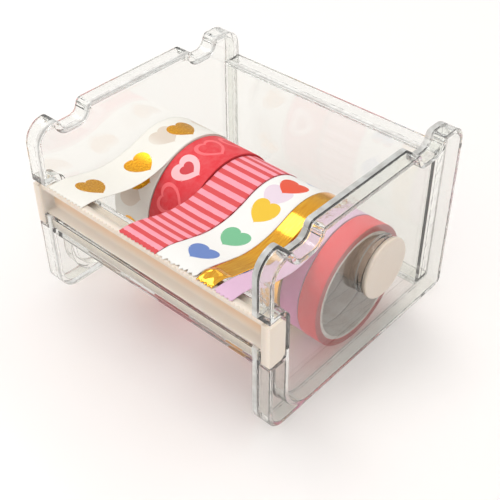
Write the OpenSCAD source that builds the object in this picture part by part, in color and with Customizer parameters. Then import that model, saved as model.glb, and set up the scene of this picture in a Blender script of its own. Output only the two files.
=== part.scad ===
// Stackable clear desk dispenser for decorative paper tapes.
// X runs along the axle, Y runs from the cutter at the front to the back
// wall, Z is up. The origin is at the middle of the footprint, on the table.

/* [Case] */
// Overall width, across both side walls
case_w = 92; // [88:0.5:100]
// Overall depth, from the cutter to the back wall's rim
case_d = 83; // [82:0.5:90]
// Height of the side walls
case_h = 60; // [58:0.5:66]
// Height of the back wall
back_h = 50.3; // [46:0.1:54]
// How far the rims stand out from the flat panels
rim_w = 6.1; // [5:0.1:7]
// Thickness of the flat panels
panel_t = 1.8; // [1.4:0.1:2.4]
// Thickness of the rims and ribs
rib_t = 1.6; // [1.2:0.1:2]
// Width of each stacking notch
notch_w = 10; // [8:0.5:11]
// Depth of each stacking notch
notch_depth = 4.4; // [4.2:0.1:5]

/* [Cutter bar] */
// Height of the cutting edge above the table
bar_top = 40.8; // [38:0.1:43]
// Height of the bar from its lower face to the cutting edge
bar_h = 14.9; // [13:0.1:16]
// Depth of the bar from front to back
bar_d = 6.1; // [5.5:0.1:6.5]
// Pitch of the saw teeth
tooth_pitch = 1.5; // [1.2:0.1:2]

/* [Axle] */
// Radius of the axle tube
axle_r = 7.5; // [6.5:0.1:7.6]
// Radius of the end caps
cap_r = 9.6; // [9:0.1:10]
// Distance of the axle behind the front face
axle_from_front = 50.4; // [50:0.1:51]
// Height of the axle above the table
axle_z = 26.6; // [26:0.1:27]

/* [Rolls] */
// Inside radius of the cardboard cores
core_r = 16.2; // [16.1:0.1:16.4]
// Wall thickness of the cores
core_t = 1.1; // [0.8:0.1:1.4]
// Distance of the roll centres behind the front face
roll_from_front = 44.6; // [44:0.1:45]
// Height of the roll centres above the table
roll_z = 21; // [20.9:0.1:21.4]
// Widths of the tapes, from left to right
tape_w = [15, 14.8, 14.4, 14, 6.4, 6.3, 6.4]; // [5:0.1:15]
// Outer radii of the wound tapes, from left to right
tape_r = [20.6, 20.4, 19.5, 19.3, 19.9, 19.2, 19.4]; // [18:0.1:20.8]
// Thickness of a loose tape end
end_t = 0.2; // [0.1:0.05:0.3]

/* [Hidden] */

$fn = 96;
over = 1;                        // how far a cutting shape runs past a face
front_y = -case_d / 2;           // plane of the front face
inner_x = case_w / 2 - rim_w;    // inner face of each side wall
panel_out = inner_x + panel_t;   // outer face of each side panel

front_top_r = 7;                 // corner radii of the side walls
front_foot_r = 6.5;
rear_top_r = 6;
rear_foot_r = 2.4;
notch_foot_r = 3.2;
shoulder_r = 2.2;
front_notch = 13.8;              // notch centres behind the front face
rear_notch = 67;

bar_z = bar_top - bar_h;         // underside of the bar
slack = 0.2;                     // room round the bar in its pocket
pocket_low = bar_z - slack;
pocket_high = bar_top + slack;
pocket_back = bar_d + slack;
rib_back = pocket_back + rib_t;  // rear face of the upright rib
pocket_corner_r = 2.6;
leg_sweep_r = 10.4;              // where the rib sweeps into the foot
bar_corner_r = 2.2;

end_block_t = 2.9;               // cream block at each end of the bar
lip_t = 1.3;                     // clear lip in front of the bar
lip_h = 5.9;
shelf_t = 1.6;                   // clear shelf behind the cutting edge
shelf_z = bar_top - 0.8;
shelf_front = 2.8;
tooth_d = 0.7;                   // depth, height and setback of the teeth
tooth_h = 0.9;
tooth_front = 0.1;
land_w = 2.6;                    // flat land behind the teeth
web_t = 1.8;                     // bar's wall behind the cove
brow_t = 1.2;                    // over the cove, under the teeth
cove_r = bar_d - web_t;
cove_z = bar_top - tooth_h - brow_t - cove_r;
lip_reach = rim_w - end_block_t - slack;   // of the lip past each panel
back_rim_w = rim_w + 0.7;        // the back wall's rim is a little wider

bore_gap = 0.08;                 // running clearance of the axle
collar_t = 1.6;
collar_end = 43.9;               // outer end of each clear collar
cap_inner = 44.2;                // inner face of each cap's flange
cap_t = 1.6;
tube_t = 1.3;
spigot_l = 6;
plug_gap = 0.02;

lanes = len(tape_w);
lane_gap = (2 * inner_x - sum(tape_w, lanes)) / (lanes + 1);
end_gap = 0.1;                   // between a loose end and what it lies on
end_wrap = -50;                  // where an end starts, behind the roll's top
end_leave = 22;                  // where it leaves the roll, in front of it
end_pull = 18;                   // how far it keeps to the roll's tangent
end_rise = 9.8;                  // where it bends up again to the land
end_rise_drop = 0.7;
land_run = land_w + 0.6;         // flat stretch stuck down on the land
wrap_steps = 14;
reach_steps = 20;

clear = [0.9, 0.93, 0.95, 0.4];
cream = [0.91, 0.86, 0.77];
card = [0.93, 0.91, 0.87];

function sum(list, n) = n == 0 ? 0 : list[n - 1] + sum(list, n - 1);
function lane_x(i) = -inner_x + (i + 1) * lane_gap + sum(tape_w, i);

// Puts a profile drawn as (distance behind the front face, height) upright
// and runs it along X from x0 over the given length.
module along_x(x0, length) {
    translate([x0, front_y, 0])
        rotate([90, 0, 90])
            linear_extrude(length) children();
}

// What a rounded corner leaves over. turn is 0, 90, 180 or 270 for a corner
// at the lower front, lower rear, upper rear or upper front.
module corner_waste(v, z, turn, r) {
    translate([v, z])
        rotate(turn)
            difference() {
                translate([-over, -over]) square(r + over);
                translate([r, r]) circle(r);
            }
}

// A stacking notch in the top edge, grown by inset on all sides.
module notch_waste(centre, inset) {
    low = case_h - notch_depth - inset;
    left = centre - notch_w / 2 - inset;
    right = centre + notch_w / 2 + inset;
    difference() {
        translate([left, low])
            square([right - left, notch_depth + inset + over]);
        corner_waste(left, low, 0, notch_foot_r + inset);
        corner_waste(right, low, 90, notch_foot_r + inset);
    }
    corner_waste(left, case_h - inset, 180, shoulder_r - inset);
    corner_waste(right, case_h - inset, 270, shoulder_r - inset);
}

// Outline of a side wall, drawn inset from its true edge.
module side_outline(inset) {
    difference() {
        translate([inset, inset])
            square([case_d - 2 * inset, case_h - 2 * inset]);
        corner_waste(inset, inset, 0, front_foot_r - inset);
        corner_waste(case_d - inset, inset, 90, rear_foot_r - inset);
        corner_waste(case_d - inset, case_h - inset, 180, rear_top_r - inset);
        corner_waste(inset, case_h - inset, 270, front_top_r - inset);
        notch_waste(front_notch, inset);
        notch_waste(rear_notch, inset);
    }
}

// The bay that the rims and ribs leave open on the outer side.
module main_bay() {
    corner_z = pocket_high + rib_t;
    difference() {
        side_outline(rib_t);
        difference() {
            translate([-over, -over])
                square([rib_back + over, corner_z + over]);
            corner_waste(rib_back, corner_z, 180, pocket_corner_r + rib_t);
        }
        corner_waste(rib_back, rib_t, 0, leg_sweep_r);
    }
}

// The small bay inside the front leg, below the bar.
module leg_bay() {
    intersection() {
        side_outline(rib_t);
        square([case_d, pocket_low - rib_t]);
        union() {
            square([pocket_back, case_h]);
            corner_waste(pocket_back, 0, 0, leg_sweep_r + rib_t);
        }
    }
}

// Pocket for the end of the cutter bar, open to the front.
module bar_pocket() {
    difference() {
        translate([-over, pocket_low])
            square([pocket_back + over, pocket_high - pocket_low]);
        corner_waste(pocket_back, pocket_high, 180, pocket_corner_r);
    }
}

module side_wall() {
    difference() {
        union() {
            difference() {
                along_x(inner_x, rim_w) side_outline(0);
                along_x(panel_out, rim_w) {
                    main_bay();
                    leg_bay();
                }
            }
            along_x(panel_out, collar_end - panel_out)
                translate([axle_from_front, axle_z])
                    circle(axle_r + bore_gap + collar_t);
        }
        along_x(inner_x - over, rim_w + 2 * over) bar_pocket();
        along_x(inner_x - over, rim_w + 2 * over)
            translate([axle_from_front, axle_z]) circle(axle_r + bore_gap);
    }
}

module right_side_wall() {
    color(clear) side_wall();
}

module left_side_wall() {
    color(clear) mirror([1, 0, 0]) side_wall();
}

// Panel with a rim along its top and foot, both turned outwards.
module back_wall() {
    face = case_d - back_rim_w;
    color(clear)
        along_x(-inner_x, 2 * inner_x)
            difference() {
                translate([face, 0]) square([case_d - face, back_h]);
                translate([face + panel_t, rib_t])
                    square([case_d, back_h - 2 * rib_t]);
            }
}

// Clear gutter that carries the cutter bar between the side walls.
module front_beam() {
    color(clear) {
        along_x(-inner_x, 2 * inner_x)
            difference() {
                translate([0, pocket_low - rib_t])
                    square([rib_back, shelf_z - pocket_low + rib_t]);
                translate([lip_t, pocket_low])
                    square([pocket_back - lip_t, shelf_z - shelf_t - pocket_low]);
                translate([-over, pocket_low - rib_t + lip_h])
                    square([shelf_front + over, bar_h]);
                corner_waste(rib_back, shelf_z, 180, rib_t);
            }
        for (side = [-1, 1])
            along_x(side * inner_x - (side < 0 ? lip_reach : 0), lip_reach)
                translate([0, pocket_low])
                    square([lip_t - slack, lip_h - rib_t]);
    }
}

// Main run of the bar, solid below and coved above, open to the front.
module bar_run() {
    difference() {
        translate([lip_t + slack, bar_z])
            square([bar_d - lip_t - slack, shelf_z - shelf_t - slack - bar_z]);
        translate([0, bar_z + lip_h - rib_t])
            square([cove_r, cove_z - bar_z - lip_h + rib_t]);
        translate([0, cove_z]) circle(cove_r);
    }
}

// Overhang that carries the cutting edge.
module bar_brow() {
    difference() {
        translate([tooth_front + tooth_d, cove_z])
            square([land_w - tooth_front - tooth_d, bar_top - cove_z]);
        translate([0, cove_z]) circle(cove_r);
        square([cove_r, cove_z]);
    }
}

module end_block() {
    difference() {
        translate([0, bar_z]) square([bar_d, bar_h - tooth_h]);
        corner_waste(bar_d, bar_top - tooth_h, 180, bar_corner_r);
        corner_waste(bar_d, bar_z, 90, bar_corner_r);
    }
}

module cutter_bar() {
    half = case_w / 2;
    inside = half - end_block_t;
    teeth = floor(2 * inside / tooth_pitch);
    start = -teeth * tooth_pitch / 2;
    color(cream) {
        along_x(-inside, 2 * inside) {
            bar_run();
            bar_brow();
        }
        for (x = [-half, inside]) along_x(x, end_block_t) end_block();
        translate([0, front_y, bar_top - tooth_h])
            linear_extrude(tooth_h)
                polygon(concat(
                    [[inside, tooth_front + 2 * tooth_d],
                     [-inside, tooth_front + 2 * tooth_d],
                     [-inside, tooth_front + tooth_d]],
                    [for (i = [0 : teeth - 1]) each
                        [[start + i * tooth_pitch, tooth_front + tooth_d],
                         [start + (i + 0.5) * tooth_pitch, tooth_front]]],
                    [[start + teeth * tooth_pitch, tooth_front + tooth_d],
                     [inside, tooth_front + tooth_d]]));
    }
}

// A ring on the axle's line, from x0 over the given length.
module ring(x0, length, outer, inner, v, z) {
    along_x(x0, length)
        translate([v, z])
            difference() {
                circle(outer);
                circle(inner);
            }
}

module axle_tube() {
    color(cream)
        ring(-cap_inner, 2 * cap_inner, axle_r, axle_r - tube_t,
             axle_from_front, axle_z);
}

module axle_cap() {
    color(cream) {
        along_x(cap_inner, cap_t)
            translate([axle_from_front, axle_z]) circle(cap_r);
        along_x(cap_inner - spigot_l, spigot_l)
            translate([axle_from_front, axle_z])
                circle(axle_r - tube_t - plug_gap);
    }
}

module axle_cap_right() {
    axle_cap();
}

module axle_cap_left() {
    mirror([1, 0, 0]) axle_cap();
}

module roll_core(i) {
    ring(lane_x(i), tape_w[i], core_r + core_t, core_r, roll_from_front, roll_z);
}

module roll_tape(i) {
    ring(lane_x(i), tape_w[i], tape_r[i], core_r + core_t + plug_gap,
         roll_from_front, roll_z);
}

// A point of the middle line of a loose end, on the roll, at an angle in
// front of the top, and its direction of travel.
function on_roll(r, a) = [roll_from_front - r * sin(a), roll_z + r * cos(a)];
function bezier(p, t) = pow(1 - t, 3) * p[0] + 3 * t * pow(1 - t, 2) * p[1]
    + 3 * t * t * (1 - t) * p[2] + pow(t, 3) * p[3];
function reach_points(r) =
    let (leave = on_roll(r, end_leave), top = bar_top + end_gap + end_t / 2)
    [leave, leave - end_pull * [cos(end_leave), sin(end_leave)],
     [land_run + end_rise, top - end_rise_drop], [land_run, top]];
function end_line(r) = concat(
    [for (k = [0 : wrap_steps - 1])
        on_roll(r, end_wrap + (end_leave - end_wrap) * k / wrap_steps)],
    [for (k = [0 : reach_steps]) bezier(reach_points(r), k / reach_steps)],
    [[tooth_front, bar_top + end_gap + end_t / 2]]);
function across(line, k) =
    let (a = line[max(k - 1, 0)], b = line[min(k + 1, len(line) - 1)],
         d = (b - a) / norm(b - a))
    [d[1], -d[0]];

// The loose end of a tape, off its roll and out to the cutting edge.
module tape_end(i) {
    line = end_line(tape_r[i] + end_gap + end_t / 2);
    last = len(line) - 1;
    along_x(lane_x(i), tape_w[i])
        polygon(concat(
            [for (k = [0 : last]) line[k] + across(line, k) * end_t / 2],
            [for (k = [last : -1 : 0]) line[k] - across(line, k) * end_t / 2]));
}

module core_gold_hearts() { color(card) roll_core(0); }
module core_red_hearts() { color(card) roll_core(1); }
module core_stripes() { color(card) roll_core(2); }
module core_bright_hearts() { color(card) roll_core(3); }
module core_gold_foil() { color(card) roll_core(4); }
module core_lilac() { color(card) roll_core(5); }
module core_coral() { color(card) roll_core(6); }

module tape_gold_hearts() { color("ivory") roll_tape(0); }
module tape_red_hearts() { color("crimson") roll_tape(1); }
module tape_stripes() { color("lightpink") roll_tape(2); }
module tape_bright_hearts() { color("white") roll_tape(3); }
module tape_gold_foil() { color("goldenrod") roll_tape(4); }
module tape_lilac() { color("thistle") roll_tape(5); }
module tape_coral() { color("lightcoral") roll_tape(6); }

module end_gold_hearts() { color("ivory") tape_end(0); }
module end_stripes() { color("lightpink") tape_end(2); }
module end_bright_hearts() { color("white") tape_end(3); }
module end_gold_foil() { color("goldenrod") tape_end(4); }
module end_lilac() { color("thistle") tape_end(5); }

left_side_wall();
right_side_wall();
back_wall();
front_beam();
cutter_bar();
axle_tube();
axle_cap_left();
axle_cap_right();
core_gold_hearts();
core_red_hearts();
core_stripes();
core_bright_hearts();
core_gold_foil();
core_lilac();
core_coral();
tape_gold_hearts();
tape_red_hearts();
tape_stripes();
tape_bright_hearts();
tape_gold_foil();
tape_lilac();
tape_coral();
end_gold_hearts();
end_stripes();
end_bright_hearts();
end_gold_foil();
end_lilac();
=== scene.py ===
import math

import bmesh
import bpy
from mathutils import Matrix, Vector, noise


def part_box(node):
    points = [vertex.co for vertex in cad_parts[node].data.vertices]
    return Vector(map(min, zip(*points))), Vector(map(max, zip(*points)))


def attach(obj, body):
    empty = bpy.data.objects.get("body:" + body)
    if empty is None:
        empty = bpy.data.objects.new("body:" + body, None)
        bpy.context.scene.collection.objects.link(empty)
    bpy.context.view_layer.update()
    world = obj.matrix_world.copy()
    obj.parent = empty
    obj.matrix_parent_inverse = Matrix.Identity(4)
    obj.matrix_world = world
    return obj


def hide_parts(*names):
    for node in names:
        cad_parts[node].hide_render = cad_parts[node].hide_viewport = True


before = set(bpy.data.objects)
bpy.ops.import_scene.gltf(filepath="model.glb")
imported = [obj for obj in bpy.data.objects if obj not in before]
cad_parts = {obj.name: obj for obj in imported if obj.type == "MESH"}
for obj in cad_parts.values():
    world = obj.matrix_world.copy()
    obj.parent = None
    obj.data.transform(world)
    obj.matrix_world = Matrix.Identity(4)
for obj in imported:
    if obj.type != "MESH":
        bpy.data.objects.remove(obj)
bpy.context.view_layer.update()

mm = 0.001
# from left to right
paperRolls = ["gold_hearts", "red_hearts", "stripes", "bright_hearts",
              "gold_foil", "lilac", "coral"]


def placePiece(name, bm, materials, body, nodes, smooth=True):
    # turns a finished bmesh into a piece that rides on its body
    mesh = bpy.data.meshes.new(name)
    bm.to_mesh(mesh)
    bm.free()
    for material in materials:
        mesh.materials.append(material)
    for polygon in mesh.polygons:
        polygon.use_smooth = smooth
    piece = bpy.data.objects.new(name, mesh)
    bpy.context.scene.collection.objects.link(piece)
    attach(piece, body)
    if nodes:
        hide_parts(*nodes)
    return piece


def mergedCopy(node):
    # a CAD node's triangles joined up again, as a bmesh
    bm = bmesh.new()
    bm.from_mesh(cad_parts[node].data)
    bmesh.ops.remove_doubles(bm, verts=bm.verts, dist=0.004 * mm)
    bmesh.ops.dissolve_degenerate(bm, edges=bm.edges, dist=0.002 * mm)
    return bm


def dissolveFlat(bm, degrees):
    bmesh.ops.dissolve_limit(bm, angle_limit=math.radians(degrees), verts=bm.verts,
                             edges=bm.edges, use_dissolve_boundaries=False)
    bmesh.ops.recalc_face_normals(bm, faces=bm.faces)


def addBevel(piece, width, segments, staysSharp, degrees=32):
    # staysSharp picks the edges where a curve runs out into a flat, with no room for a rounding
    bm = bmesh.new()
    bm.from_mesh(piece.data)
    weight = bm.edges.layers.float.new("bevel_weight_edge")
    for edge in bm.edges:
        sharp = edge.calc_face_angle(0.0) > math.radians(degrees)
        edge[weight] = float(sharp and not staysSharp([vert.co for vert in edge.verts]))
    bm.to_mesh(piece.data)
    bm.free()
    bevel = piece.modifiers.new("softEdges", "BEVEL")
    bevel.width = width
    bevel.segments = segments
    bevel.limit_method = "WEIGHT"
    bevel.use_clamp_overlap = False  # the shortest facet of a curve would set the width
    weigh = piece.modifiers.new("evenNormals", "WEIGHTED_NORMAL")
    weigh.mode = "FACE_AREA"
    weigh.keep_sharp = False


def onPlane(ends, x):
    # an edge that lies in the plane at x on either side of the middle
    return all(abs(abs(end.x) - x) < 0.02 * mm for end in ends)


def spinProfile(points, centre, steps, closed=True):
    # (x, radius) points turned round an axis along X; an open line starts and ends on that axis
    bm = bmesh.new()
    verts = [bm.verts.new((x, centre.y, centre.z + r)) for x, r in points]
    nexts = verts[1:] + verts[:1] if closed else verts[1:]
    edges = [bm.edges.new(pair) for pair in zip(verts, nexts)]
    bmesh.ops.spin(bm, geom=verts + edges, cent=centre, axis=(1, 0, 0),
                   angle=math.tau, steps=steps, use_merge=True)
    bmesh.ops.remove_doubles(bm, verts=bm.verts, dist=0.001 * mm)
    bmesh.ops.recalc_face_normals(bm, faces=bm.faces)
    return bm


def roundedLoop(x0, x1, r0, r1, corner, cuts=4):
    # rectangle in (x, radius) with quarter-round corners, as a list of points
    points = []
    for cx, cr, start in ((x1 - corner, r1 - corner, 90), (x1 - corner, r0 + corner, 0),
                          (x0 + corner, r0 + corner, -90), (x0 + corner, r1 - corner, -180)):
        for k in range(cuts + 1):
            a = math.radians(start - 90 * k / cuts)
            points.append((cx + corner * math.cos(a), cr + corner * math.sin(a)))
    return points


def wrapUv(bm, centre, x0, woundOn=0.0):
    # u runs round the axis and v across the width, both in millimetres of paper;
    # woundOn is the length of paper already wound at the top of the roll
    layer = bm.loops.layers.uv.new("paper")
    for face in bm.faces:
        middle = face.calc_center_median() - centre
        around = math.atan2(-middle.y, middle.z)
        for loop in face.loops:
            arm = loop.vert.co - centre
            angle = math.atan2(-arm.y, arm.z)
            while angle - around > math.pi:
                angle -= math.tau
            while around - angle > math.pi:
                angle += math.tau
            radius = math.hypot(arm.y, arm.z)
            loop[layer].uv = ((woundOn - angle * radius) / mm, (arm.x + centre.x - x0) / mm)


def newMaterial(name, **constants):
    material = bpy.data.materials.new(name)
    material.use_nodes = True
    tree = material.node_tree
    shader = tree.nodes["Principled BSDF"]
    for socket, value in constants.items():
        shader.inputs[socket.replace("_", " ")].default_value = value
    return material, tree, shader


def feed(tree, socket, value):
    if isinstance(value, bpy.types.NodeSocket):
        tree.links.new(value, socket)
    else:
        socket.default_value = value


def calc(tree, operation, a, b=0.0):
    node = tree.nodes.new("ShaderNodeMath")
    node.operation = operation
    feed(tree, node.inputs[0], a)
    feed(tree, node.inputs[1], b)
    return node.outputs[0]


def product(tree, value, *others):
    for other in others:
        value = calc(tree, "MULTIPLY", value, other)
    return value


def remap(tree, value, low, high, outLow=0.0, outHigh=1.0, kind="SMOOTHSTEP"):
    node = tree.nodes.new("ShaderNodeMapRange")
    node.interpolation_type = kind
    for socket, given in zip(node.inputs, (value, low, high, outLow, outHigh)):
        feed(tree, socket, given)
    return node.outputs[0]


def mixColour(tree, factor, a, b, mode="MIX"):
    node = tree.nodes.new("ShaderNodeMix")
    node.data_type = "RGBA"
    node.blend_type = mode
    feed(tree, node.inputs[0], factor)
    feed(tree, node.inputs[6], a)
    feed(tree, node.inputs[7], b)
    return node.outputs[2]


def noiseAt(tree, vector, scale, detail=3.0, roughness=0.55):
    node = tree.nodes.new("ShaderNodeTexNoise")
    tree.links.new(vector, node.inputs["Vector"])
    node.inputs["Scale"].default_value = scale
    node.inputs["Detail"].default_value = detail
    node.inputs["Roughness"].default_value = roughness
    return node.outputs[0]


def bumpFrom(tree, height, distance, strength=1.0):
    node = tree.nodes.new("ShaderNodeBump")
    node.inputs["Distance"].default_value = distance
    node.inputs["Strength"].default_value = strength
    tree.links.new(height, node.inputs["Height"])
    return node.outputs[0]


def stretched(tree, socket, scale, location=(0, 0, 0)):
    node = tree.nodes.new("ShaderNodeMapping")
    node.inputs["Scale"].default_value = scale
    node.inputs["Location"].default_value = location
    tree.links.new(socket, node.inputs["Vector"])
    return node.outputs[0]


def coordinate(tree, kind):
    return tree.nodes.new("ShaderNodeTexCoord").outputs[kind]


def split(tree, vector):
    node = tree.nodes.new("ShaderNodeSeparateXYZ")
    tree.links.new(vector, node.inputs[0])
    return node.outputs


def rgb(r, g, b):
    # sRGB 0-255 to a linear colour
    def linear(c):
        c /= 255
        return c / 12.92 if c <= 0.04045 else ((c + 0.055) / 1.055) ** 2.4
    return (linear(r), linear(g), linear(b), 1.0)


clearPlastic = {
    "tint": rgb(246, 247, 244), "frost": rgb(222, 220, 216), "ior": 1.51,
    "shadowTint": rgb(252, 251, 250), "flowScale": 60.0, "flowShare": 0.25, "rippleScale": 330.0,
    "depth": 0.16 * mm,
    "rimStart": (1.9 * mm, 2.3 * mm),  # out from the panels' inner faces, where the ripples fade in
    "topStart": (1.9 * mm, 1.5 * mm),  # down from the top of the side walls
    "walls": {"clearness": 0.987, "roughness": (0.015, 0.09)},
    # the narrow edges of the flat panels, frosted so that light gets out of them
    "edges": {"clearness": 0.40, "roughness": (0.14, 0.24)},
}


def makeClearPlastic(name, finish):
    p = clearPlastic
    material, tree, shader = newMaterial(
        name, Base_Color=p["tint"], IOR=p["ior"], Transmission_Weight=finish["clearness"])
    place = coordinate(tree, "Object")
    axes = split(tree, place)
    low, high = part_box("right_side_wall")
    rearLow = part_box("back_wall")[0]
    sides = remap(tree, calc(tree, "ABSOLUTE", axes[0]), *(low[0] + out for out in p["rimStart"]))
    tops = remap(tree, axes[2], *(high[2] - down for down in p["topStart"]))
    rear = remap(tree, axes[1], *(rearLow[1] + out for out in p["rimStart"]))
    rims = calc(tree, "MAXIMUM", sides, calc(tree, "MAXIMUM", tops, rear))
    flow = noiseAt(tree, place, p["flowScale"], 2.0)
    fine = noiseAt(tree, place, p["rippleScale"], 2.0)
    height = calc(tree, "ADD", product(tree, fine, rims), product(tree, flow, p["flowShare"]))
    feed(tree, shader.inputs["Roughness"], remap(tree, rims, 0.0, 1.0, *finish["roughness"]))
    feed(tree, shader.inputs["Normal"], bumpFrom(tree, height, p["depth"]))
    if finish is p["edges"]:
        feed(tree, shader.inputs["Base Color"],
             mixColour(tree, remap(tree, fine, 0.35, 0.65), p["tint"], p["frost"]))
    # light passes straight through on its way to what lies in the plastic's shade
    through = tree.nodes.new("ShaderNodeBsdfTransparent")
    through.inputs["Color"].default_value = p["shadowTint"]
    rays = tree.nodes.new("ShaderNodeLightPath")
    either = tree.nodes.new("ShaderNodeMixShader")
    output = tree.nodes["Material Output"]
    tree.links.new(rays.outputs["Is Shadow Ray"], either.inputs[0])
    tree.links.new(shader.outputs[0], either.inputs[1])
    tree.links.new(through.outputs[0], either.inputs[2])
    tree.links.new(either.outputs[0], output.inputs["Surface"])
    return material


creamPlastic = {
    # the tube is the same cream plastic as the caps; its colour is painted a darker tan as shade, for the
    # shadow it lies in inside the rolls
    "bar": rgb(240, 228, 214), "caps": rgb(227, 215, 202), "tube": rgb(206, 178, 160),
    # the darker colour on the next line is both the random clouding's darker tone and the painted shade in
    # the bar's cove
    "cloudToneAndPaintedShade": rgb(228, 192, 158), "clouding": 0.10, "paintedShadeShare": 0.85, "coveFade": 0.4 * mm,
    "roughness": (0.28, 0.42), "grainScale": 2600.0, "grainDepth": 0.006 * mm, "cloudScale": 90.0,
    "softness": 0.12, "softColour": (1.0, 0.7, 0.4), "softDepth": 1.5 * mm,
}


def makeCreamPlastic(name, pale, cove=None):
    # cove is the (y, z) box of the bar's hollow front, where a warmer, darker colour is painted in as shade
    p = creamPlastic
    material, tree, shader = newMaterial(name, IOR=1.5)
    place = coordinate(tree, "Object")
    cloud = noiseAt(tree, place, p["cloudScale"], 2.0)
    grain = noiseAt(tree, place, p["grainScale"], 2.0)
    colour = mixColour(tree, remap(tree, cloud, 0.3, 0.7, 0.0, p["clouding"]), pale, p["cloudToneAndPaintedShade"])
    if cove:
        axes = split(tree, place)
        inward = remap(tree, axes[1], cove["front"], cove["back"])
        above = remap(tree, axes[2], cove["top"], cove["middle"])
        below = remap(tree, axes[2], cove["bottom"], cove["middle"])
        between = remap(tree, calc(tree, "ABSOLUTE", axes[0]), cove["end"], cove["end"] - p["coveFade"])
        # painted shade: the darker colour mixed in across the cove's hollow, fading out towards the bar's
        # end blocks
        depth = product(tree, above, below, inward, between, p["paintedShadeShare"])
        colour = mixColour(tree, depth, colour, p["cloudToneAndPaintedShade"])
    feed(tree, shader.inputs["Base Color"], colour)
    feed(tree, shader.inputs["Roughness"], remap(tree, grain, 0.3, 0.7, *p["roughness"]))
    feed(tree, shader.inputs["Normal"], bumpFrom(tree, grain, p["grainDepth"]))
    shader.inputs["Subsurface Weight"].default_value = p["softness"]
    shader.inputs["Subsurface Radius"].default_value = p["softColour"]
    shader.inputs["Subsurface Scale"].default_value = p["softDepth"]
    return material


heartSpan = 2.28  # how wide the curve is when drawn to its own scale


def heartMask(tree, along, across, size, point):
    # 1 inside a heart of that width at the origin, from (x2 + y2 - 1)^3 < x2 y3;
    # point is the way its tip goes
    unit = size / heartSpan
    aside, up, sense = {"towards the cut": (across, along, 1), "right": (along, across, -1)}[point]
    x = calc(tree, "DIVIDE", aside, unit)
    y = calc(tree, "DIVIDE", up, sense * unit)
    xx = product(tree, x, x)
    yy = product(tree, y, y)
    ball = calc(tree, "SUBTRACT", calc(tree, "ADD", xx, yy), 1.0)
    cube = product(tree, ball, ball, ball)
    dent = product(tree, xx, yy, y)
    return remap(tree, calc(tree, "SUBTRACT", cube, dent), 0.002, -0.002)


def rowOf(tree, along, pitch, start):
    # (distance from the nearest print's centre, number of that print)
    counted = calc(tree, "DIVIDE", calc(tree, "SUBTRACT", along, start), pitch)
    shifted = calc(tree, "ADD", counted, 0.5)
    number = calc(tree, "FLOOR", shifted)
    beside = calc(tree, "SUBTRACT", calc(tree, "SUBTRACT", shifted, number), 0.5)
    return product(tree, beside, pitch), number


def numbered(tree, number, count):
    return calc(tree, "FLOORED_MODULO", number, float(count))


washi = {
    "fibreStretch": (0.9, 3.2, 1.0), "fibreScale": 2.4, "mottleScale": 0.35, "light": rgb(255, 255, 255),
    "shade": rgb(120, 105, 100), "sheen": 0.16, "spread": 0.08, "depth": 0.02 * mm, "relief": 0.6,
}


def paperBase(name, colour, roughness=0.62, fibre=0.05, gloss=0.5):
    # soft fibres across the strip, slight mottling and a dull sheen
    p = washi
    material, tree, shader = newMaterial(name, IOR=1.46, Specular_IOR_Level=gloss)
    uv = coordinate(tree, "UV")
    fibres = noiseAt(tree, stretched(tree, uv, p["fibreStretch"]), p["fibreScale"], 4.0, 0.65)
    mottle = noiseAt(tree, uv, p["mottleScale"], 3.0)
    lighter = mixColour(tree, remap(tree, mottle, 0.3, 0.7, 0.0, fibre), colour, p["light"])
    darker = mixColour(tree, remap(tree, fibres, 0.45, 0.75, 0.0, fibre), lighter, p["shade"], "MULTIPLY")
    shader.inputs["Sheen Weight"].default_value = p["sheen"] * gloss
    feed(tree, shader.inputs["Roughness"],
         remap(tree, fibres, 0.3, 0.7, roughness - p["spread"], roughness + p["spread"]))
    feed(tree, shader.inputs["Normal"], bumpFrom(tree, fibres, p["depth"], p["relief"]))
    feed(tree, shader.inputs["Base Color"], darker)
    return material, tree, shader, darker


def paperAxes(tree, width):
    # along the strip, and across it from its middle, in millimetres
    axes = split(tree, coordinate(tree, "UV"))
    return axes[0], calc(tree, "SUBTRACT", axes[1], width / 2)


# sizes and places of the prints are in millimetres of paper, from the cut; a ghost is a faint, shifted copy
# of a print
goldHearts = {
    "paper": rgb(243, 240, 232), "gold": rgb(240, 170, 40), "size": 9.0, "pitch": 19.0,
    "start": 10.4, "aside": 1.4, "ghost": rgb(196, 160, 128), "ghostShift": (-6.4, -1.6),
    "ghostFrom": (35.0, 41.0), "ghostShare": 0.42, "crinkleScale": 1.4,
    "paperRoughness": 0.6, "goldRoughness": (0.16, 0.30),
}


def makeGoldHeartPaper(width):
    p = goldHearts
    material, tree, shader, colour = paperBase("goldHeartPaper", p["paper"])
    along, across = paperAxes(tree, width)
    across = calc(tree, "SUBTRACT", across, p["aside"])
    near = rowOf(tree, along, p["pitch"], p["start"] + p["ghostShift"][0])[0]
    ghost = heartMask(tree, near, calc(tree, "SUBTRACT", across, p["ghostShift"][1]), p["size"], "right")
    backed = remap(tree, along, *p["ghostFrom"])
    colour = mixColour(tree, product(tree, ghost, backed, p["ghostShare"]), colour, p["ghost"])
    near = rowOf(tree, along, p["pitch"], p["start"])[0]
    heart = heartMask(tree, near, across, p["size"], "right")
    crinkle = noiseAt(tree, coordinate(tree, "UV"), p["crinkleScale"], 3.0)
    metal = remap(tree, crinkle, 0.3, 0.7, *p["goldRoughness"])
    feed(tree, shader.inputs["Base Color"], mixColour(tree, heart, colour, p["gold"]))
    feed(tree, shader.inputs["Metallic"], heart)
    feed(tree, shader.inputs["Roughness"], remap(tree, heart, 0.0, 1.0, p["paperRoughness"], metal))
    return material


redHearts = {
    "paper": rgb(232, 44, 56), "bold": rgb(255, 196, 200), "heartFill": rgb(205, 60, 70),
    "fine": rgb(255, 112, 118), "size": 9.6, "pitch": 10.9, "start": -9.3,
    "boldInner": (0.50, 0.25), "fineInner": (0.76, 0.15),  # share of the size, and shift to the left
    "fillShare": 0.7,
}


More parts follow.
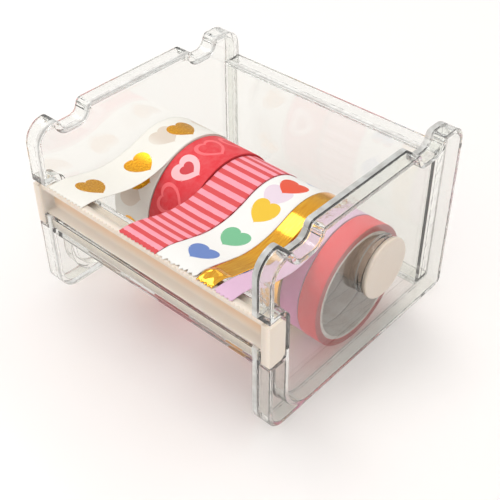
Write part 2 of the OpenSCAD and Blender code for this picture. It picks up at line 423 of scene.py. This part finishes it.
def makeRedHeartPaper(width):
    p = redHearts
    material, tree, shader, colour = paperBase("redHeartPaper", p["paper"])
    along, across = paperAxes(tree, width)
    near, number = rowOf(tree, along, p["pitch"], p["start"])
    bold = calc(tree, "LESS_THAN", numbered(tree, number, 3), 0.5)  # every third heart
    outer = heartMask(tree, near, across, p["size"], "right")
    innerBold, innerFine = (
        heartMask(tree, near, calc(tree, "ADD", across, shift), p["size"] * share, "right")
        for share, shift in (p["boldInner"], p["fineInner"]))
    inner = calc(tree, "ADD", product(tree, bold, innerBold),
                 product(tree, calc(tree, "SUBTRACT", 1.0, bold), innerFine))
    ring = calc(tree, "SUBTRACT", outer, inner)
    ink = mixColour(tree, bold, p["fine"], p["bold"])
    fill = mixColour(tree, product(tree, innerBold, bold, p["fillShare"]), colour, p["heartFill"])
    feed(tree, shader.inputs["Base Color"], mixColour(tree, ring, fill, ink))
    return material


stripes = {
    "red": rgb(222, 72, 76), "pink": rgb(255, 158, 174), "pitch": 3.7, "start": 1.0,
    "halfBand": (0.26, 0.23), "wobble": 0.2, "wobbleScale": 0.6,
}


def makeStripedPaper(width):
    p = stripes
    material, tree, shader, colour = paperBase("stripedPaper", p["pink"])
    along = paperAxes(tree, width)[0]
    wobble = product(tree, noiseAt(tree, coordinate(tree, "UV"), p["wobbleScale"], 1.0), p["wobble"])
    near = rowOf(tree, calc(tree, "ADD", along, wobble), p["pitch"], p["start"])[0]
    band = remap(tree, calc(tree, "ABSOLUTE", near), *(p["pitch"] * share for share in p["halfBand"]))
    feed(tree, shader.inputs["Base Color"], mixColour(tree, band, colour, p["red"]))
    return material


brightHearts = {
    "paper": rgb(246, 244, 240), "size": 8.8, "pitch": 12.9, "start": 9.9,
    "inks": [rgb(104, 134, 198), rgb(120, 192, 146), rgb(240, 196, 44), rgb(232, 82, 50)],
    "ghost": rgb(222, 186, 214), "ghostShift": (-6.2, -0.8), "ghostShare": 0.55,
    "blankTo": 3.0,  # no print nearer the cut than this
}


def makeBrightHeartPaper(width):
    p = brightHearts
    material, tree, shader, colour = paperBase("brightHeartPaper", p["paper"])
    along, across = paperAxes(tree, width)
    near, number = rowOf(tree, along, p["pitch"], p["start"] + p["ghostShift"][0])
    ghost = heartMask(tree, near, calc(tree, "SUBTRACT", across, p["ghostShift"][1]), p["size"],
                      "towards the cut")
    everyFourth = calc(tree, "GREATER_THAN", numbered(tree, number, 4), 2.5)
    colour = mixColour(tree, product(tree, ghost, everyFourth, p["ghostShare"]), colour, p["ghost"])
    near, number = rowOf(tree, along, p["pitch"], p["start"])
    which = numbered(tree, number, len(p["inks"]))
    ink = p["inks"][0]
    for k, shade in enumerate(p["inks"][1:], start=1):
        ink = mixColour(tree, calc(tree, "GREATER_THAN", which, k - 0.5), ink, shade)
    heart = heartMask(tree, near, across, p["size"], "towards the cut")
    printed = product(tree, heart, calc(tree, "GREATER_THAN", along, p["blankTo"]))
    feed(tree, shader.inputs["Base Color"], mixColour(tree, printed, colour, ink))
    return material


goldFoil = {
    "colour": rgb(228, 158, 52), "glint": rgb(246, 192, 76), "roughness": (0.10, 0.15),
    "streakStretch": (0.12, 2.2, 1.0), "streakScale": 1.6, "crinkleScale": 0.5, "depth": 0.03 * mm,
    "relief": 0.4,
}


def makeGoldFoil():
    p = goldFoil
    material, tree, shader = newMaterial("goldFoil", Metallic=1.0)
    uv = coordinate(tree, "UV")
    streaks = noiseAt(tree, stretched(tree, uv, p["streakStretch"]), p["streakScale"], 4.0)
    crinkle = noiseAt(tree, uv, p["crinkleScale"], 3.0)
    feed(tree, shader.inputs["Base Color"],
         mixColour(tree, remap(tree, streaks, 0.35, 0.75), p["colour"], p["glint"]))
    feed(tree, shader.inputs["Roughness"], remap(tree, streaks, 0.3, 0.7, *p["roughness"]))
    feed(tree, shader.inputs["Normal"], bumpFrom(tree, crinkle, p["depth"], p["relief"]))
    return material


plainPaper = {"roughness": 0.55, "fibre": 0.03, "gloss": 0.25}


def makePlainPaper(name, colour):
    return paperBase(name, colour, **plainPaper)[0]


woundEdge = {"roughness": 0.7, "ringScale": 5.5, "depth": 0.05 * mm}


def makeWoundEdge(name, colour, dark, centre):
    # the side of a wound roll: fine rings, one for each few turns of paper
    p = woundEdge
    material, tree, shader = newMaterial(name, Roughness=p["roughness"])
    place = stretched(tree, coordinate(tree, "Object"), (1, 1, 1), (0, -centre.y, -centre.z))
    axes = split(tree, place)
    square = calc(tree, "ADD", product(tree, axes[1], axes[1]), product(tree, axes[2], axes[2]))
    radius = product(tree, calc(tree, "SQRT", square), 1 / mm)
    ring = tree.nodes.new("ShaderNodeTexNoise")
    ring.noise_dimensions = "1D"
    ring.inputs["Scale"].default_value = p["ringScale"]
    ring.inputs["Detail"].default_value = 3.0
    tree.links.new(radius, ring.inputs["W"])
    rings = ring.outputs[0]
    feed(tree, shader.inputs["Base Color"],
         mixColour(tree, remap(tree, rings, 0.35, 0.7), colour, dark))
    feed(tree, shader.inputs["Normal"], bumpFrom(tree, rings, p["depth"]))
    return material


coreBoard = {
    "grey": rgb(246, 240, 236), "warm": rgb(232, 220, 213), "fleck": rgb(120, 110, 104),
    "seam": rgb(96, 86, 80), "seamPitch": 46.0, "seamStart": 4.0, "seamSlant": 2.6,
    "seamHalf": (0.35, 0.12), "seamShare": 0.35, "fleckShare": 0.35,
    "fibreStretch": (0.5, 2.0, 1.0), "fibreScale": 2.0, "fibreRelief": 0.3, "cloudScale": 0.16,
    "roughness": 0.75, "depth": 0.08 * mm,
}


def makeCoreBoard():
    # grey board wound in a slant, with a seam at each turn
    p = coreBoard
    material, tree, shader = newMaterial("coreBoard", Roughness=p["roughness"])
    uv = coordinate(tree, "UV")
    axes = split(tree, uv)
    slant = calc(tree, "ADD", axes[0], product(tree, axes[1], p["seamSlant"]))
    near = rowOf(tree, slant, p["seamPitch"], p["seamStart"])[0]
    seam = remap(tree, calc(tree, "ABSOLUTE", near), *p["seamHalf"])
    fibres = noiseAt(tree, stretched(tree, uv, p["fibreStretch"]), p["fibreScale"], 4.0, 0.7)
    cloud = noiseAt(tree, uv, p["cloudScale"], 2.0)
    base = mixColour(tree, remap(tree, cloud, 0.35, 0.65), p["grey"], p["warm"])
    base = mixColour(tree, remap(tree, fibres, 0.4, 0.8, 0.0, p["fleckShare"]), base, p["fleck"])
    seamed = mixColour(tree, product(tree, seam, p["seamShare"]), base, p["seam"])
    feed(tree, shader.inputs["Base Color"], seamed)
    height = calc(tree, "SUBTRACT", product(tree, fibres, p["fibreRelief"]), seam)
    feed(tree, shader.inputs["Normal"], bumpFrom(tree, height, p["depth"]))
    return material


clearNodes = ["left_side_wall", "right_side_wall", "back_wall", "front_beam"]
caseEdges = {"radius": 0.32 * mm, "segments": 3, "panel": 1.8 * mm, "footCorner": 2.6 * mm}


def frostEdges(bm):
    # gives the narrow edges of the flat panels the second material, and cuts faces where those end
    panel = caseEdges["panel"]
    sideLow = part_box("right_side_wall")[0]
    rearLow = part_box("back_wall")[0]
    outer, rear = sideLow[0] + panel, rearLow[1] + panel
    cuts = [((x, 0, 0), (1, 0, 0)) for x in (sideLow[0], outer, -sideLow[0], -outer)]
    cuts += [((0, y, 0), (0, 1, 0)) for y in (rearLow[1], rear)]
    for point, normal in cuts:
        bmesh.ops.bisect_plane(bm, geom=bm.verts[:] + bm.edges[:] + bm.faces[:], dist=0.01 * mm,
                               plane_co=point, plane_no=normal)
    for face in bm.faces:
        middle = face.calc_center_median()
        inSide = sideLow[0] < abs(middle.x) < outer and abs(face.normal.x) < 0.5
        inRear = abs(middle.x) < sideLow[0] and rearLow[1] < middle.y < rear and abs(face.normal.y) < 0.5
        face.material_index = 1 if inSide or inRear else 0


def makeCase(walls, edges):
    # the four clear nodes as one moulding
    parts = []
    for node in clearNodes:
        bm = mergedCopy(node)
        mesh = bpy.data.meshes.new("part")
        bm.to_mesh(mesh)
        bm.free()
        part = bpy.data.objects.new("part", mesh)
        bpy.context.scene.collection.objects.link(part)
        parts.append(part)
    for part in parts[1:]:
        join = parts[0].modifiers.new("join", "BOOLEAN")
        join.operation = "UNION"
        join.solver = "EXACT"
        join.object = part
    bpy.context.view_layer.update()
    whole = parts[0].evaluated_get(bpy.context.evaluated_depsgraph_get())
    bm = bmesh.new()
    bm.from_mesh(whole.to_mesh())
    for part in parts:
        bpy.data.objects.remove(part)
    bmesh.ops.remove_doubles(bm, verts=bm.verts, dist=0.01 * mm)
    dissolveFlat(bm, 1.0)
    frostEdges(bm)
    case = placePiece("clearCase", bm, [walls, edges], "case", clearNodes)
    sideLow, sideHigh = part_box("right_side_wall")
    foot = caseEdges["footCorner"]

    def rearFoot(ends):
        low = all(end.y > sideHigh[1] - foot and end.z < foot for end in ends)
        return low and onPlane(ends, sideLow[0])

    addBevel(case, caseEdges["radius"], caseEdges["segments"], rearFoot)


barShape = {
    "edge": 0.12 * mm, "segments": 2, "endBlock": 2.9 * mm,
    # where the cove's painted shade starts and is full: back from the front, down from the top, up from the
    # lower face
    "coveFront": 0.9 * mm, "coveBack": 3.6 * mm, "coveTop": 1.0 * mm, "coveMiddle": 7.2 * mm,
    "coveBottom": 3.6 * mm,
}


def makeCutterBar():
    p = barShape
    low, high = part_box("cutter_bar")
    blockFace = high[0] - p["endBlock"]
    cove = {"front": low[1] + p["coveFront"], "back": low[1] + p["coveBack"],
            "top": high[2] - p["coveTop"], "middle": high[2] - p["coveMiddle"],
            "bottom": low[2] + p["coveBottom"], "end": blockFace}
    bm = mergedCopy("cutter_bar")
    dissolveFlat(bm, 1.0)
    bar = placePiece("cutterBar", bm, [makeCreamPlastic("creamBar", creamPlastic["bar"], cove)],
                     "case", ["cutter_bar"])
    addBevel(bar, p["edge"], p["segments"], lambda ends: onPlane(ends, blockFace))


axleShape = {
    "steps": 96, "tubeWall": 1.3 * mm, "tubeEdge": 0.2 * mm, "capHead": 1.6 * mm, "capEdge": 0.45 * mm,
    "capBack": 0.15 * mm, "dish": 0.25 * mm, "dishFlat": 0.70, "dishRim": 0.78,
    "spigot": 6.0 * mm, "spigotGap": 0.02 * mm, "spigotTaper": 0.3 * mm,
}


def capProfile(outer, outward, capRadius, bore):
    # from the middle of the dished face, over its rounded edge, to the middle of the spigot's end
    p = axleShape
    inner = outer - outward * p["capHead"]
    root = inner - outward * p["spigot"]
    plug = bore - p["spigotGap"]
    edge, dish = p["capEdge"], p["dish"]
    points = [(outer - outward * dish, 0.0), (outer - outward * dish, capRadius * p["dishFlat"])]
    points.append((outer, capRadius * p["dishRim"]))
    for k in range(6):
        a = math.radians(90 * k / 5)
        points.append((outer - outward * edge * (1 - math.cos(a)),
                       capRadius - edge * (1 - math.sin(a))))
    points += [(inner, capRadius - p["capBack"]), (inner, plug)]
    points += [(root, plug - p["spigotTaper"]), (root, 0.0)]
    return points


def makeAxle(capPlastic, tubePlastic):
    p = axleShape
    low, high = (Vector(corner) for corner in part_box("axle_tube"))
    centre = (low + high) / 2
    radius = (high.z - low.z) / 2
    bore = radius - p["tubeWall"]
    bm = spinProfile(roundedLoop(low.x, high.x, bore, radius, p["tubeEdge"]), centre, p["steps"])
    placePiece("axleTube", bm, [tubePlastic], "axle", ["axle_tube"])
    for side, outward in (("left", -1), ("right", 1)):
        low, high = (Vector(corner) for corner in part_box("axle_cap_" + side))
        outer = high.x if outward > 0 else low.x
        points = capProfile(outer, outward, (high.z - low.z) / 2, bore)
        bm = spinProfile(points, centre, p["steps"], closed=False)
        cap = placePiece("axleCap" + side.capitalize(), bm, [capPlastic], "axle",
                         ["axle_cap_" + side])
        cap.modifiers.new("evenNormals", "WEIGHTED_NORMAL")


rollShape = {
    "steps": 144, "edge": 0.18 * mm, "edgeCut": 0.3, "sideCuts": 14, "sideRagged": 0.07 * mm,
    "raggedScale": 2.3, "boardWall": 1.1 * mm, "boardEdge": 0.15 * mm, "boardInset": 0.05 * mm,
    "boardGap": 0.02 * mm,
}


def raggedLoop(x0, x1, r0, r1, seed):
    # like roundedLoop, with the turns of paper a little out of line at both sides
    p = rollShape
    cuts, edge = p["sideCuts"], p["edge"]
    cut = edge * p["edgeCut"]
    points = [(x0 + edge, r1), (x1 - edge, r1), (x1 - cut, r1 - cut)]
    for side, order in ((1, range(1, cuts)), (-1, range(cuts - 1, 0, -1))):
        for k in order:
            r = r1 + (r0 - r1) * k / cuts
            slip = p["sideRagged"] * noise.noise(Vector((r / mm * p["raggedScale"], seed * 7.1, side)))
            x = x1 - abs(slip) if side > 0 else x0 + abs(slip)
            points.append((x, r))
        if side > 0:
            points += [(x1, r0), (x0, r0)]
    points.append((x0 + cut, r1 - cut))
    return points


def makeRoll(index, name, printed, edged, board, woundOn):
    p = rollShape
    low, high = (Vector(corner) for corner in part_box("tape_" + name))
    coreLow, coreHigh = (Vector(corner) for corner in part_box("core_" + name))
    centre = (low + high) / 2
    outer = (high.z - low.z) / 2
    boardOuter = (coreHigh.z - coreLow.z) / 2
    bm = spinProfile(raggedLoop(low.x, high.x, boardOuter + p["boardGap"], outer, index), centre,
                     p["steps"])
    wrapUv(bm, centre, low.x, woundOn)
    for face in bm.faces:
        face.material_index = 1 if abs(face.normal.x) > 0.5 else 0
    placePiece("windings_" + name, bm, [printed, edged], name + "_roll",
               ["tape_" + name])
    points = roundedLoop(low.x + p["boardInset"], high.x - p["boardInset"],
                         boardOuter - p["boardWall"], boardOuter, p["boardEdge"])
    bm = spinProfile(points, centre, p["steps"])
    wrapUv(bm, centre, low.x)
    placePiece("coreTube_" + name, bm, [board], name + "_roll", ["core_" + name])


# the line that every loose end follows, in the plane across the axle
endLine = {
    "wrap": -50.0, "leave": 22.0, "pull": 18 * mm, "rise": 9.8 * mm, "riseDrop": 0.7 * mm,
    "landRun": 3.2 * mm, "gap": 0.2 * mm, "front": 0.1 * mm, "freeCuts": 60, "rollCuts": 40,
}


def bezier(points, t):
    a, b, c, d = points
    s = 1 - t
    return a * s ** 3 + b * 3 * t * s * s + c * 3 * t * t * s + d * t ** 3


def endPath(radius):
    # (y, z) points from the cutting edge back over the roll
    p = endLine
    barLow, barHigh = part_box("cutter_bar")
    low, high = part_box("tape_" + paperRolls[0])  # all the rolls have the same centre line
    axis = Vector(((low[1] + high[1]) / 2, (low[2] + high[2]) / 2))
    front, top = barLow[1], barHigh[2] + p["gap"]
    onRoll = radius + p["gap"]

    def around(degrees):
        a = math.radians(degrees)
        return axis + onRoll * Vector((-math.sin(a), math.cos(a)))

    leave = around(p["leave"])
    a = math.radians(p["leave"])
    reach = [leave, leave - p["pull"] * Vector((math.cos(a), math.sin(a))),
             Vector((front + p["landRun"] + p["rise"], top - p["riseDrop"])),
             Vector((front + p["landRun"], top))]
    path = [Vector((front + p["front"], top))]
    path += [bezier(reach, 1 - k / p["freeCuts"]) for k in range(p["freeCuts"] + 1)]
    turn = p["wrap"] - p["leave"]
    path += [around(p["leave"] + turn * k / p["rollCuts"]) for k in range(1, p["rollCuts"] + 1)]
    return path


def lengths(path):
    # how far each point of the path is from its start
    total = [0.0]
    for a, b in zip(path, path[1:]):
        total.append(total[-1] + (b - a).length)
    return total


def alongPath(path, span, s):
    # point and upward normal at a distance from the cutting edge
    s = min(max(s, 0.0), span[-1] - 1e-9)
    k = next(i for i in range(len(span) - 1) if span[i + 1] > s)
    a, b = path[k], path[k + 1]
    step = (b - a) / (b - a).length
    before = path[max(k - 1, 0)]
    after = path[min(k + 2, len(path) - 1)]
    t = (s - span[k]) / (span[k + 1] - span[k])
    tangent = ((a - before) * (1 - t) + (after - b) * t + (b - a)).normalized()
    return a + step * (s - span[k]), Vector((-tangent.y, tangent.x))


endShape = {
    "across": 0.375 * mm, "along": 0.55 * mm, "thick": 0.09 * mm,
    "toothPitch": 1.5 * mm, "toothDepth": 0.7 * mm, "raggedScale": 0.9,
    "tipRun": 6 * mm,  # how far back the cut and the lifted tip reach
    "restFrom": 0.62, "restRun": 8 * mm,  # from this share of its length on it lies on its roll
    "wave": 0.10 * mm, "waveScale": (0.12, 0.16), "curl": 0.12 * mm, "liftScale": 0.5,
    "crumpleRun": 8.0 * mm, "crumpleScale": 0.42, "knotPeak": 1.15, "knotFade": 0.75, "foldShare": 0.9,
    "pinch": 0.16,
}
# how each tape was torn off
tornEnds = {
    "gold_hearts": {"ragged": 0.15 * mm, "lift": 0.1 * mm},
    "stripes": {"ragged": 0.15 * mm, "lift": 0.1 * mm},
    "bright_hearts": {"ragged": 0.9 * mm, "lift": 0.5 * mm},
    "gold_foil": {"ragged": 0.4 * mm, "lift": 0.2 * mm, "crumpled": 1.3 * mm},
    "lilac": {"ragged": 0.15 * mm, "lift": 0.1 * mm},
}


def makeEnd(index, name, material, ragged, lift, crumpled=0.0):
    p = endShape
    low, high = (Vector(corner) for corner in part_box("end_" + name))
    tapeLow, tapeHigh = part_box("tape_" + name)
    path = endPath((tapeHigh[2] - tapeLow[2]) / 2)
    span = lengths(path)
    width = high.x - low.x
    columns = max(4, round(width / p["across"]))
    rows = round(span[-1] / p["along"])
    bm = bmesh.new()
    bmesh.ops.create_grid(bm, x_segments=columns, y_segments=rows, size=0.5)
    layer = bm.loops.layers.uv.verify()
    for face in bm.faces:
        for loop in face.loops:
            x, s = loop.vert.co.x + 0.5, (loop.vert.co.y + 0.5) * span[-1]
            loop[layer].uv = (s / mm, x * width / mm)
    for vert in bm.verts:
        x = low.x + (vert.co.x + 0.5) * width
        s = (vert.co.y + 0.5) * span[-1]
        edge = abs(vert.co.x) * 2
        saw = p["toothDepth"] * abs(2 * ((x / p["toothPitch"]) % 1.0) - 1)
        tear = noise.noise(Vector((x / mm * p["raggedScale"], index * 3.7, 0.0)))
        near = max(0.0, 1 - s / p["tipRun"])
        s += (saw + ragged * max(0.0, 0.5 + tear)) * near ** 3
        point, up = alongPath(path, span, s)
        free = min(1.0, s / p["tipRun"])
        free *= min(1.0, max(0.0, (span[-1] * p["restFrom"] - s) / p["restRun"]))
        rise = p["curl"] * edge ** 3 * free
        wave = noise.noise(Vector((x / mm * p["waveScale"][0], s / mm * p["waveScale"][1], index * 5.3)))
        rise += p["wave"] * wave * free
        if crumpled:
            # bunched up into a soft knot with a few folds
            tip = max(0.0, 1 - s / p["crumpleRun"])
            fold = noise.noise(Vector((x / mm * p["crumpleScale"], s / mm * p["crumpleScale"], 1.7)))
            knot = math.sin(math.pi * min(1.0, p["knotPeak"] * tip)) * (1 - (p["knotFade"] * edge) ** 2)
            rise += crumpled * knot * (1 + p["foldShare"] * fold)
            x -= p["pinch"] * tip * (x - low.x - width / 2)
        flap = noise.noise(Vector((x / mm * p["liftScale"], index * 2.1, 4.0)))
        rise += lift * near ** 2 * max(0.0, 0.4 + flap)
        point = point + up * rise
        vert.co = (x, point.x, point.y)
    bmesh.ops.recalc_face_normals(bm, faces=bm.faces)
    piece = placePiece("end_" + name + "_paper", bm, [material], "case",
                       ["end_" + name])
    solid = piece.modifiers.new("thickness", "SOLIDIFY")
    solid.thickness = p["thick"]
    solid.offset = 0.0


studio = {
    "floor": rgb(253, 249, 247), "floorRoughness": 0.20, "floorSize": 3.0, "floorDrop": 0.02 * mm,
    "below": (0.64, 0.64, 0.63, 1), "belowTo": 0.50, "above": (1, 0.995, 0.985, 1), "aboveFrom": 0.80,
    "strength": 0.88,
    "lamps": [  # name, direction, distance, size and power
        ("key", (-0.52, -0.04, 0.86), 0.9, 0.40, 1.7),
        ("fill", (0.75, -0.35, 0.55), 1.1, 0.6, 0.7),
        ("front", (-0.15, -0.92, 0.30), 1.1, 0.6, 1.6),
        ("rim", (0.1, 0.9, 0.5), 1.1, 0.6, 0.8),
    ],
    "lens": 68.086, "cameraPlace": (0.15187, -0.16561, 0.20284), "cameraTurn": (49.893, 0.253, 41.924),
}


def makeStage():
    floor = bpy.data.meshes.new("floor")
    bm = bmesh.new()
    bmesh.ops.create_grid(bm, x_segments=1, y_segments=1, size=studio["floorSize"])
    bm.to_mesh(floor)
    bm.free()
    plane = bpy.data.objects.new("floor", floor)
    plane.location.z = -studio["floorDrop"]
    bpy.context.scene.collection.objects.link(plane)
    material = newMaterial("paleFloor", Base_Color=studio["floor"], Roughness=studio["floorRoughness"])[0]
    floor.materials.append(material)


def aimed(toward, distance):
    # facing the origin from a direction, at a distance
    direction = Vector(toward).normalized()
    return Matrix.Translation(direction * distance) @ direction.to_track_quat("Z", "Y").to_matrix().to_4x4()


def makeLights():
    world = bpy.data.worlds.new("studio")
    bpy.context.scene.world = world
    world.use_nodes = True
    tree = world.node_tree
    shader = tree.nodes["Background"]
    ramp = tree.nodes.new("ShaderNodeValToRGB")
    below, above = ramp.color_ramp.elements
    below.position = studio["belowTo"]
    below.color = studio["below"]
    above.position = studio["aboveFrom"]
    above.color = studio["above"]
    height = remap(tree, split(tree, coordinate(tree, "Generated"))[2], -1.0, 1.0, 0.0, 1.0, "LINEAR")
    tree.links.new(height, ramp.inputs[0])
    tree.links.new(ramp.outputs[0], shader.inputs["Color"])
    shader.inputs["Strength"].default_value = studio["strength"]
    for name, toward, distance, size, power in studio["lamps"]:
        light = bpy.data.lights.new(name, "AREA")
        light.shape = "SQUARE"
        light.size = size
        light.energy = power
        lamp = bpy.data.objects.new(name, light)
        lamp.matrix_world = aimed(toward, distance)
        bpy.context.scene.collection.objects.link(lamp)


def makeCamera():
    data = bpy.data.cameras.new("camera")
    data.lens = studio["lens"]
    camera = bpy.data.objects.new("camera", data)
    camera.location = studio["cameraPlace"]
    camera.rotation_euler = [math.radians(a) for a in studio["cameraTurn"]]
    bpy.context.scene.collection.objects.link(camera)
    bpy.context.scene.camera = camera
    bpy.context.scene.view_settings.view_transform = "Standard"


# the two colours of each roll's side, and the paper wound on at the top of a printed roll
rollLooks = {
    "gold_hearts": {"side": rgb(238, 234, 224), "rings": rgb(206, 198, 184), "woundOn": 219.1 * mm},
    "red_hearts": {"side": rgb(214, 52, 60), "rings": rgb(170, 34, 42)},
    "stripes": {"side": rgb(226, 110, 120), "rings": rgb(196, 76, 86)},
    "bright_hearts": {"side": rgb(238, 234, 228), "rings": rgb(206, 200, 192), "woundOn": 138.9 * mm},
    "gold_foil": {"side": rgb(206, 158, 70), "rings": rgb(150, 106, 34)},
    "lilac": {"side": rgb(214, 168, 200), "rings": rgb(186, 138, 172)},
    "coral": {"side": rgb(206, 70, 72), "rings": rgb(168, 46, 50)},
}
# one turn of the lilac paper alone is thinner and paler than the roll
plainColours = {"lilac": rgb(224, 128, 182), "coral": rgb(240, 20, 36), "lilacEnd": rgb(230, 190, 217)}


def widthOf(name):
    low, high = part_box("tape_" + name)
    return (high[0] - low[0]) / mm


def makePapers():
    return {
        "gold_hearts": makeGoldHeartPaper(widthOf("gold_hearts")),
        "red_hearts": makeRedHeartPaper(widthOf("red_hearts")),
        "stripes": makeStripedPaper(widthOf("stripes")),
        "bright_hearts": makeBrightHeartPaper(widthOf("bright_hearts")),
        "gold_foil": makeGoldFoil(),
        "lilac": makePlainPaper("lilacPaper", plainColours["lilac"]),
        "coral": makePlainPaper("coralPaper", plainColours["coral"]),
    }


def makeRolls(papers):
    low, high = (Vector(corner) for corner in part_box("tape_" + paperRolls[0]))
    board = makeCoreBoard()
    for index, name in enumerate(paperRolls):
        look = rollLooks[name]
        edged = makeWoundEdge("woundEdge_" + name, look["side"], look["rings"], (low + high) / 2)
        makeRoll(index, name, papers[name], edged, board, look.get("woundOn", 0.0))


def makeEnds(papers):
    lilac = makePlainPaper("lilacEndPaper", plainColours["lilacEnd"])
    endPapers = dict(papers, lilac=lilac)
    for index, name in enumerate(tornEnds):
        makeEnd(index, name, endPapers[name], **tornEnds[name])


makeCamera()
makeLights()
makeStage()
print("stage ready")

makeCase(makeClearPlastic("clearPlastic", clearPlastic["walls"]),
         makeClearPlastic("clearEdges", clearPlastic["edges"]))
print("case ready")

makeCutterBar()
makeAxle(makeCreamPlastic("creamCaps", creamPlastic["caps"]),
         makeCreamPlastic("creamTubeInPaintedShade", creamPlastic["tube"]))
print("bar and axle ready")

papers = makePapers()
makeRolls(papers)
print("rolls ready")

makeEnds(papers)
print("loose ends ready")
